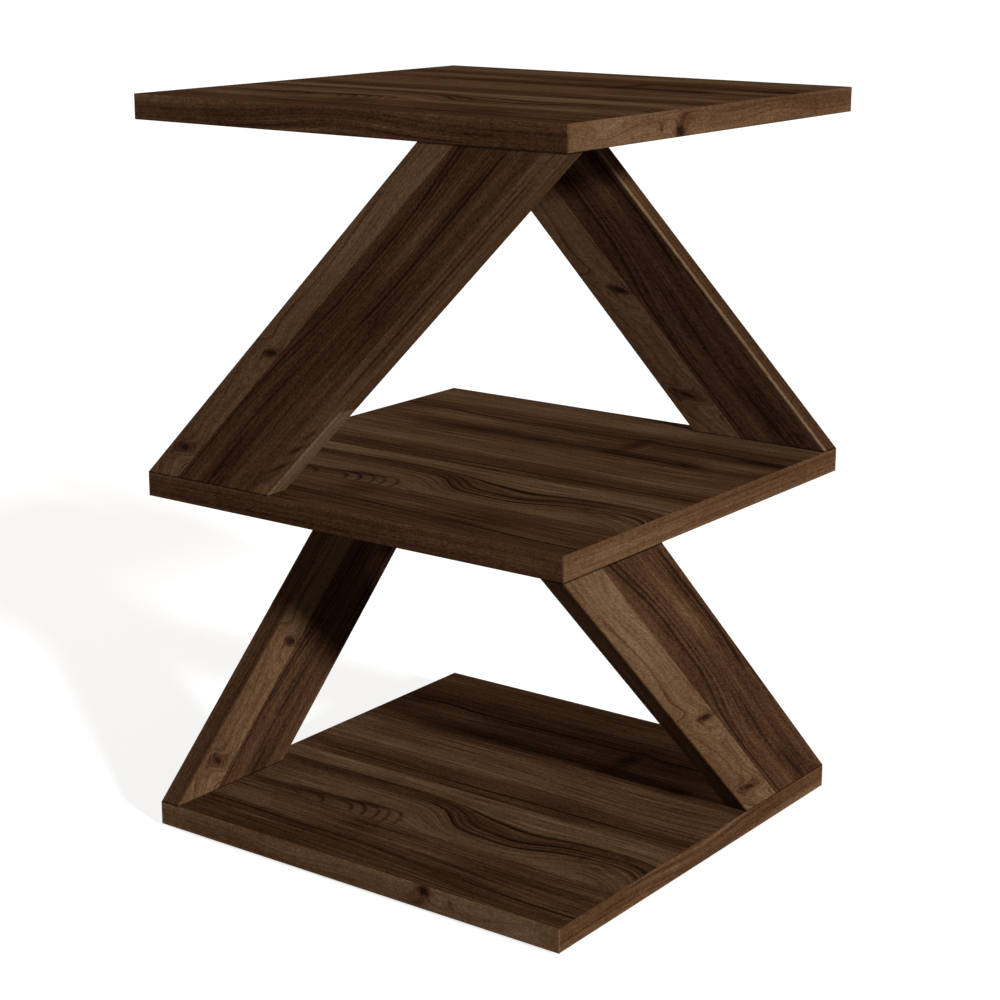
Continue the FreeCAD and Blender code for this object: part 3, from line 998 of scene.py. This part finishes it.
def wind_thread(shape, root, crest, start, end, pitch):
    """Wind a thread on a turned shape, from one height to another. It fades out at both ends."""
    ridge = [(root - 0.2, 0), (crest, 0.38 * pitch), (crest, 0.48 * pitch), (root - 0.2, 0.86 * pitch)]
    spots = [shape.verts.new((radius * mm, 0, (start + height) * mm)) for radius, height in ridge]
    loop = [shape.edges.new(pair) for pair in zip(spots, spots[1:] + spots[:1])]
    first = shape.faces.new(spots)
    turns = (end - start) / pitch - 0.86
    steps = round(STEPS * turns)
    climb = (0, 0, pitch * turns / steps * mm)
    wound = bmesh.ops.spin(
        shape, geom=spots + loop + [first], axis=(0, 0, 1), dvec=climb, angle=math.tau * turns,
        steps=steps,
    )
    last = [item for item in wound["geom_last"] if isinstance(item, bmesh.types.BMVert)]
    for finish in (spots, last):
        outer = [spot for spot in finish if spot.co.xy.length > (root + 0.1) * mm]
        bmesh.ops.scale(shape, vec=(root / crest, root / crest, 1), verts=outer)


print("turned parts have", STEPS, "edges round")

# %% Recesses
def hexagon_socket(shape, radius, depth):
    """Sink a hexagon socket into the open lower end of a turned shape."""
    rim = [edge for edge in shape.edges if edge.is_boundary]
    plane = Matrix.Translation((0, 0, DISH))
    bmesh.ops.create_circle(shape, segments=6, radius=radius * mm, matrix=plane)
    sides = [edge for edge in shape.edges if edge.is_wire]
    bmesh.ops.subdivide_edges(shape, edges=sides, cuts=STEPS // 6 - 1)
    sides = [edge for edge in shape.edges if edge.is_wire]
    bmesh.ops.bridge_loops(shape, edges=rim + sides)
    sunk = bmesh.ops.extrude_edge_only(shape, edges=sides)["geom"]
    floor_spots = [item for item in sunk if isinstance(item, bmesh.types.BMVert)]
    floor_edges = [item for item in sunk if isinstance(item, bmesh.types.BMEdge)]
    bmesh.ops.translate(shape, vec=(0, 0, depth * mm), verts=floor_spots)
    bmesh.ops.contextual_create(shape, geom=[edge for edge in floor_edges if edge.is_boundary])


def cross_recess(shape, length, width, depth, level=0.0):
    """Sink a cross for a screwdriver into an open end at a height. A depth below zero goes downwards."""
    rim = [edge for edge in shape.edges if edge.is_boundary]
    plane = Matrix.Translation((0, 0, level * mm + math.copysign(DISH, depth)))
    grid = bmesh.ops.create_grid(shape, x_segments=3, y_segments=3, size=length / 2 * mm, matrix=plane)
    cells = grid["verts"]
    thin = width / (length / 3)
    inner_x = [spot for spot in cells if abs(spot.co.x) < length / 4 * mm]
    inner_y = [spot for spot in cells if abs(spot.co.y) < length / 4 * mm]
    bmesh.ops.scale(shape, vec=(thin, 1, 1), verts=inner_x)
    bmesh.ops.scale(shape, vec=(1, thin, 1), verts=inner_y)
    faces = {face for spot in cells for face in spot.link_faces}
    middles = {face: face.calc_center_median() for face in faces}
    corners = [face for face, middle in middles.items()
               if min(abs(middle.x), abs(middle.y)) > width / 2 * mm]
    bmesh.ops.delete(shape, geom=corners, context="FACES")
    before = set(rim)
    outline = [edge for edge in shape.edges if edge.is_boundary and edge not in before]
    bmesh.ops.bisect_edges(shape, edges=outline, cuts=1)
    outline = [edge for edge in shape.edges if edge.is_boundary and edge not in before]
    bmesh.ops.bridge_loops(shape, edges=rim + outline)
    arms = [face for face in faces if face.is_valid and face not in corners]
    sunk = bmesh.ops.extrude_face_region(shape, geom=arms)["geom"]
    spots = [item for item in sunk if isinstance(item, bmesh.types.BMVert)]
    bmesh.ops.delete(shape, geom=[face for face in arms if face.is_valid], context="FACES")
    bmesh.ops.translate(shape, vec=(0, 0, depth * mm), verts=spots)


print("recess tools ready")

# %% [markdown]
# ## Metal, beech and plastic
#
# Screws and bolts are zinc plated: bright, slightly blue, with a cloudy roughness where the plating is
# thinner. Cams are die cast, which leaves a duller, grainier skin. One group makes both skins from two
# noises, and each material gives it its own colours and grain size. Metallic is a plain number on the
# shader.

# %% Metal skin group
def make_metal_skin():
    """Group that mixes two tones and two roughnesses by clouds and fine grains."""
    tree, given, result = start_group(
        "metal skin",
        {"Position": "Vector", "Grain": "Float", "Light": "Color", "Dark": "Color", "Smooth": "Float",
         "Rough": "Float"},
        {"Color": "Color", "Roughness": "Float", "Height": "Float"},
    )
    clouds = add(tree, "TexNoise", {
        "Vector": given["Position"], "Scale": 240.0, "Detail": 3.0,
    }).outputs[0]
    grains = add(tree, "TexNoise", {
        "Vector": given["Position"], "Scale": given["Grain"], "Detail": 1.0,
    }).outputs[0]
    both = calc(tree, "MULTIPLY_ADD", grains, 0.4, calc(tree, "MULTIPLY", clouds, 0.6))
    mask = add(tree, "MapRange", {"Value": both, "From Min": 0.35, "From Max": 0.65}).outputs[0]
    tint = add(tree, "Mix", {
        "Factor": mask, 6: given["Light"], 7: given["Dark"],
    }, data_type="RGBA").outputs[2]
    wire(tree, result["Color"], tint)
    rough = add(tree, "MapRange", {
        "Value": mask, "To Min": given["Smooth"], "To Max": given["Rough"],
    }).outputs[0]
    wire(tree, result["Roughness"], rough)
    wire(tree, result["Height"], grains)
    return tree


metal_skin = make_metal_skin()


def metal_material(name, light, dark, smooth, rough, grain_size, bump_depth):
    """Bare or plated metal from the shared skin."""
    made, tree, shader = new_material(name)
    position = add(tree, "TexCoord").outputs["Object"]
    skin = add(tree, "Group", {
        "Position": position, "Grain": grain_size, "Smooth": smooth, "Rough": rough,
        "Light": (*srgb(*light), 1), "Dark": (*srgb(*dark), 1),
    }, node_tree=metal_skin).outputs
    feed_shader(tree, shader, skin["Color"], skin["Roughness"], skin["Height"], strength=0.4,
                depth=bump_depth * mm)
    shader.inputs["Metallic"].default_value = 1.0
    return made


zinc_plate = metal_material("zinc plate", (196, 200, 204), (168, 172, 178), 0.28, 0.46, 1800.0, 0.02)
cast_zinc = metal_material("cast zinc", (160, 160, 160), (126, 126, 128), 0.42, 0.62, 2600.0, 0.06)
print("metal skin uses", len(metal_skin.nodes), "nodes")

# %% Beech and glide plastic
beech, tree, shader = new_material("beech")
own = add(tree, "TexCoord").outputs["Object"]
fibres = stretched_noise(tree, own, 1400, 1400, depth=60)
flecks = stretched_noise(tree, own, 2200, 2200, depth=300, detail=1.0, seed=4.0)
fleck = add(tree, "MapRange", {"Value": flecks, "From Min": 0.08, "From Max": 0.2}).outputs[0]
tone = calc(tree, "MULTIPLY_ADD", fleck, 0.35, calc(tree, "MULTIPLY_ADD", fibres, 1.2, 0.4))
colour = pick_colour(tree, tone, [(0, srgb(204, 176, 140)), (1, srgb(160, 122, 86))])
roughness = calc(tree, "MULTIPLY_ADD", fibres, 0.3, 0.62)
feed_shader(tree, shader, colour, roughness, fibres, strength=0.4, depth=0.05 * mm)

glide_plastic, tree, shader = new_material("glide plastic")
own = add(tree, "TexCoord").outputs["Object"]
grain_noise = add(tree, "TexNoise", {"Vector": own, "Scale": 1500.0, "Detail": 2.0}).outputs[0]
scuffs = add(tree, "TexNoise", {"Vector": own, "Scale": 130.0, "Detail": 4.0}).outputs[0]
colour = pick_colour(tree, scuffs, [(0, srgb(34, 26, 21)), (1, srgb(62, 50, 42))])
roughness = calc(tree, "MULTIPLY_ADD", scuffs, 0.3, 0.34)
feed_shader(tree, shader, colour, roughness, grain_noise, strength=0.3, depth=0.03 * mm)
print("hardware materials ready")

# %% [markdown]
# ## Connecting screws
#
# A connecting screw for chipboard has a countersunk head with a hexagon socket, a smooth neck that fills
# the hole in the shelf, and a deep coarse thread on a thin core that bites into the leg's end. Only the
# heads show, under the bottom and the middle shelf.

# %% Connecting screws
screw = turned([(4.75, 0), (5, 0.25), (3.5, 1.9), (3.4, 12), (2.5, 13.2), (2.35, 47.5), (1.2, 50), (0, 50)])
hexagon_socket(screw, radius=2.3, depth=3)
wind_thread(screw, root=2.4, crest=3.45, start=14, end=48, pitch=3)
repeat_piece("threaded_screws", screw, "connecting_screws", zinc_plate)

# %% [markdown]
# ## Bolts and cams
#
# A bolt hangs from the shelf above into the leg's end. Its head sits inside the cam, which is turned with
# a screwdriver to draw the shelf down. The cam is a cast drum: a solid cap with a cross in its face, and
# behind it a wall that leaves a gap for the bolt's shaft. That wall is a part spin, so it stays open on
# the side that faces the shelf.

# %% Cam bolts
bolt = turned([
    (1.6, 0), (2.9, 0.3), (3.2, 0.8), (3.2, 1.7), (2.6, 2.2), (2.0, 2.6), (2.0, 22), (2.2, 22.6),
    (2.2, 23.1), (3.5, 23.1), (3.7, 23.4), (3.7, 24.8), (3.5, 25.1), (2.2, 25.1), (2.1, 34.6),
    (1.3, 36.1), (0, 36.1),
])
cross_recess(bolt, length=2.2, width=0.5, depth=1.0)
wind_thread(bolt, root=2.15, crest=2.95, start=25.4, end=35.6, pitch=2)
repeat_piece("threaded_bolts", bolt, "cam_bolts", zinc_plate)

# %% Cam locks
CAM_DEPTH = 12.8
CEILING = 7.4            # where the cavity for the bolt's head ends and the solid cap starts


def toward_middle(corners):
    """Matrix that lays a cam's face towards the middle of the table, with its gap upwards."""
    lowest, highest = corners
    size, middle = highest - lowest, (lowest + highest) / 2
    depth_way = ALONG_X if size.x < size.y else ALONG_Y
    inward = depth_way * (-1 if middle.dot(depth_way) > 0 else 1)
    turn = Matrix((UP.cross(inward), UP, inward)).transposed().to_4x4()
    return Matrix.Translation(middle - inward * CAM_DEPTH / 2 * mm) @ turn


cam = turned([
    (6.3, CAM_DEPTH - 0.5), (6.5, CAM_DEPTH), (7.2, CAM_DEPTH), (7.5, CAM_DEPTH - 0.3), (7.5, CEILING),
    (0, CEILING),
])
cross_recess(cam, length=8, width=1.4, depth=-2.0, level=CAM_DEPTH - 0.5)
wall = [(5.7, 0.3), (7.5, 0.3), (7.5, CEILING + 0.3), (5.7, CEILING + 0.3)]
spots = [cam.verts.new((radius * mm, 0, height * mm)) for radius, height in wall]
loop = [cam.edges.new(pair) for pair in zip(spots, spots[1:] + spots[:1])]
half_gap = math.radians(27)
start_turn = Matrix.Rotation(math.radians(90) + half_gap, 4, "Z")
bmesh.ops.transform(cam, matrix=start_turn, verts=spots)
bmesh.ops.spin(
    cam, geom=spots + loop + [cam.faces.new(spots)], axis=(0, 0, 1), angle=math.tau - 2 * half_gap,
    steps=STEPS,
)
back = turned([(0, 0), (7.2, 0), (7.5, 0.3), (7.5, 0.7), (0, 0.7)])
back_mesh = bpy.data.meshes.new("cam back")
back.to_mesh(back_mesh)
back.free()
cam.from_mesh(back_mesh)
bpy.data.meshes.remove(back_mesh)
repeat_piece("cast_cams", cam, "cam_locks", cast_zinc, place=toward_middle)

# %% [markdown]
# ## Dowels
#
# Beech dowels are fluted so that the glue can rise past them, and their ends are chamfered so that they
# find the hole. Every fourth corner of a ring of edges is pulled in to make a flute, and the ring is
# extruded upwards three times: out over the lower chamfer, along the shaft, and in over the upper one.

# %% Dowels
dowel = bmesh.new()
rim = bmesh.ops.create_circle(dowel, segments=48, radius=4 * mm)["verts"]
bmesh.ops.scale(dowel, vec=(0.92, 0.92, 1), verts=rim[::4])
ring = list(dowel.edges)
bmesh.ops.scale(dowel, vec=(0.76, 0.76, 1), verts=rim)
bmesh.ops.contextual_create(dowel, geom=ring)
for rise, grow in ((1.2, 1 / 0.76), (27.6, 1), (1.2, 0.76)):
    grown = bmesh.ops.extrude_edge_only(dowel, edges=ring)["geom"]
    spots = [item for item in grown if isinstance(item, bmesh.types.BMVert)]
    ring = [edge for edge in grown if isinstance(edge, bmesh.types.BMEdge) and edge.is_boundary]
    bmesh.ops.translate(dowel, vec=(0, 0, rise * mm), verts=spots)
    bmesh.ops.scale(dowel, vec=(grow, grow, 1), verts=spots)
bmesh.ops.contextual_create(dowel, geom=ring)
repeat_piece("fluted_dowels", dowel, "dowels", beech)

# %% [markdown]
# ## Glides
#
# Four round glides are stuck under the bottom shelf, 30 mm in from its edges. A moulded glide has a
# rounded rim, so that it slides over a carpet, and a shallow dish with a raised ring round it.

# %% Glides
glide = turned([
    (0, 0.5), (6.6, 0.5), (7.2, 0.1), (7.6, 0), (9.2, 0), (10.1, 0.25), (10.7, 0.75), (11, 1.5), (11, 3),
    (0, 3),
])
repeat_piece("rounded_glides", glide, "glides", glide_plastic)

# %% [markdown]
# ## Floor, background and light
#
# The photograph is a cut-out on white. A pale floor and a white background give the same calm look, and
# the floor keeps the table's shadow. The main light comes from low on the right and a little from the
# front, which makes the right-hand edges the brightest faces and lets the lower right leg throw a soft
# shadow along the bottom shelf. A wider lamp low behind, a faint fill in front and the world's own light
# keep the other sides readable. Seen from below the floor is clear, so that the underside can be looked
# at.

# %% Floor
FLOOR_REACH = 15         # metres from the middle to each edge


def shown_to_camera(tree):
    """1 for rays that look at the background directly, in a reflection or through glass."""
    path = add(tree, "LightPath").outputs
    seen = calc(tree, "MAXIMUM", path["Is Camera Ray"], path["Is Glossy Ray"])
    return calc(tree, "MAXIMUM", seen, path["Is Transmission Ray"])


floor_shape = bmesh.new()
bmesh.ops.create_grid(floor_shape, x_segments=1, y_segments=1, size=FLOOR_REACH)
floor_mesh = bpy.data.meshes.new("floor")
floor_shape.to_mesh(floor_mesh)
floor_shape.free()
floor = new_object("floor", floor_mesh)
pale, tree, shader = new_material("pale floor")
shader.inputs["Base Color"].default_value = (0.42, 0.42, 0.42, 1)
shader.inputs["Roughness"].default_value = 0.9
shader.inputs["Specular IOR Level"].default_value = 0.0
shader.inputs["Emission Color"].default_value = (1, 1, 1, 1)
wire(tree, shader.inputs["Emission Strength"], calc(tree, "MULTIPLY", shown_to_camera(tree), 0.78))
below = add(tree, "NewGeometry").outputs["Backfacing"]
wire(tree, shader.inputs["Alpha"], calc(tree, "SUBTRACT", 1.0, below))
floor_mesh.materials.append(pale)
print("floor is", round(floor.dimensions.x), "m wide")

# %% World
world = bpy.data.worlds.new("studio")
world.use_nodes = True
bpy.context.scene.world = world
tree = world.node_tree
ambient = 0.24
backdrop = tree.nodes["Background"]
colour = add(tree, "Mix", {"Factor": shown_to_camera(tree), 6: (1.08, 0.98, 0.92, 1), 7: (1, 1, 1, 1)},
             data_type="RGBA").outputs[2]
wire(tree, backdrop.inputs["Color"], colour)
strength = add(tree, "MapRange", {
    "Value": shown_to_camera(tree), "To Min": ambient, "To Max": 1.0,
}).outputs[0]
wire(tree, backdrop.inputs["Strength"], strength)
print("the world lights the table at", ambient)

# %% Lamps
def lamp(name, way, level, spread, tint=(1, 1, 1)):
    """Distant lamp. At level 1 a surface that faces it renders as it is coloured."""
    data = bpy.data.lights.new(name, "SUN")
    data.angle = math.radians(spread)
    data.energy = level * math.pi
    data.color = tint
    made = new_object(name, data)
    made.matrix_world = Matrix.LocRotScale(Vector(way), Vector(way).to_track_quat("Z", "Y"), None)
    print(name, "stands", round(math.degrees(math.asin(Vector(way).normalized().z))), "degrees up")


lamp("main lamp", (0.909, -0.298, 0.292), level=1.37, spread=5, tint=(0.97, 1, 0.98))
lamp("front fill", (0.75, -0.6, 0.05), level=0.06, spread=60)
lamp("back lamp", (-0.81, 0.57, 0.08), level=0.95, spread=30)

# %% [markdown]
# ## Colour
#
# The Standard view shows each colour as it is written.

# %% Colour
bpy.context.scene.view_settings.view_transform = "Standard"
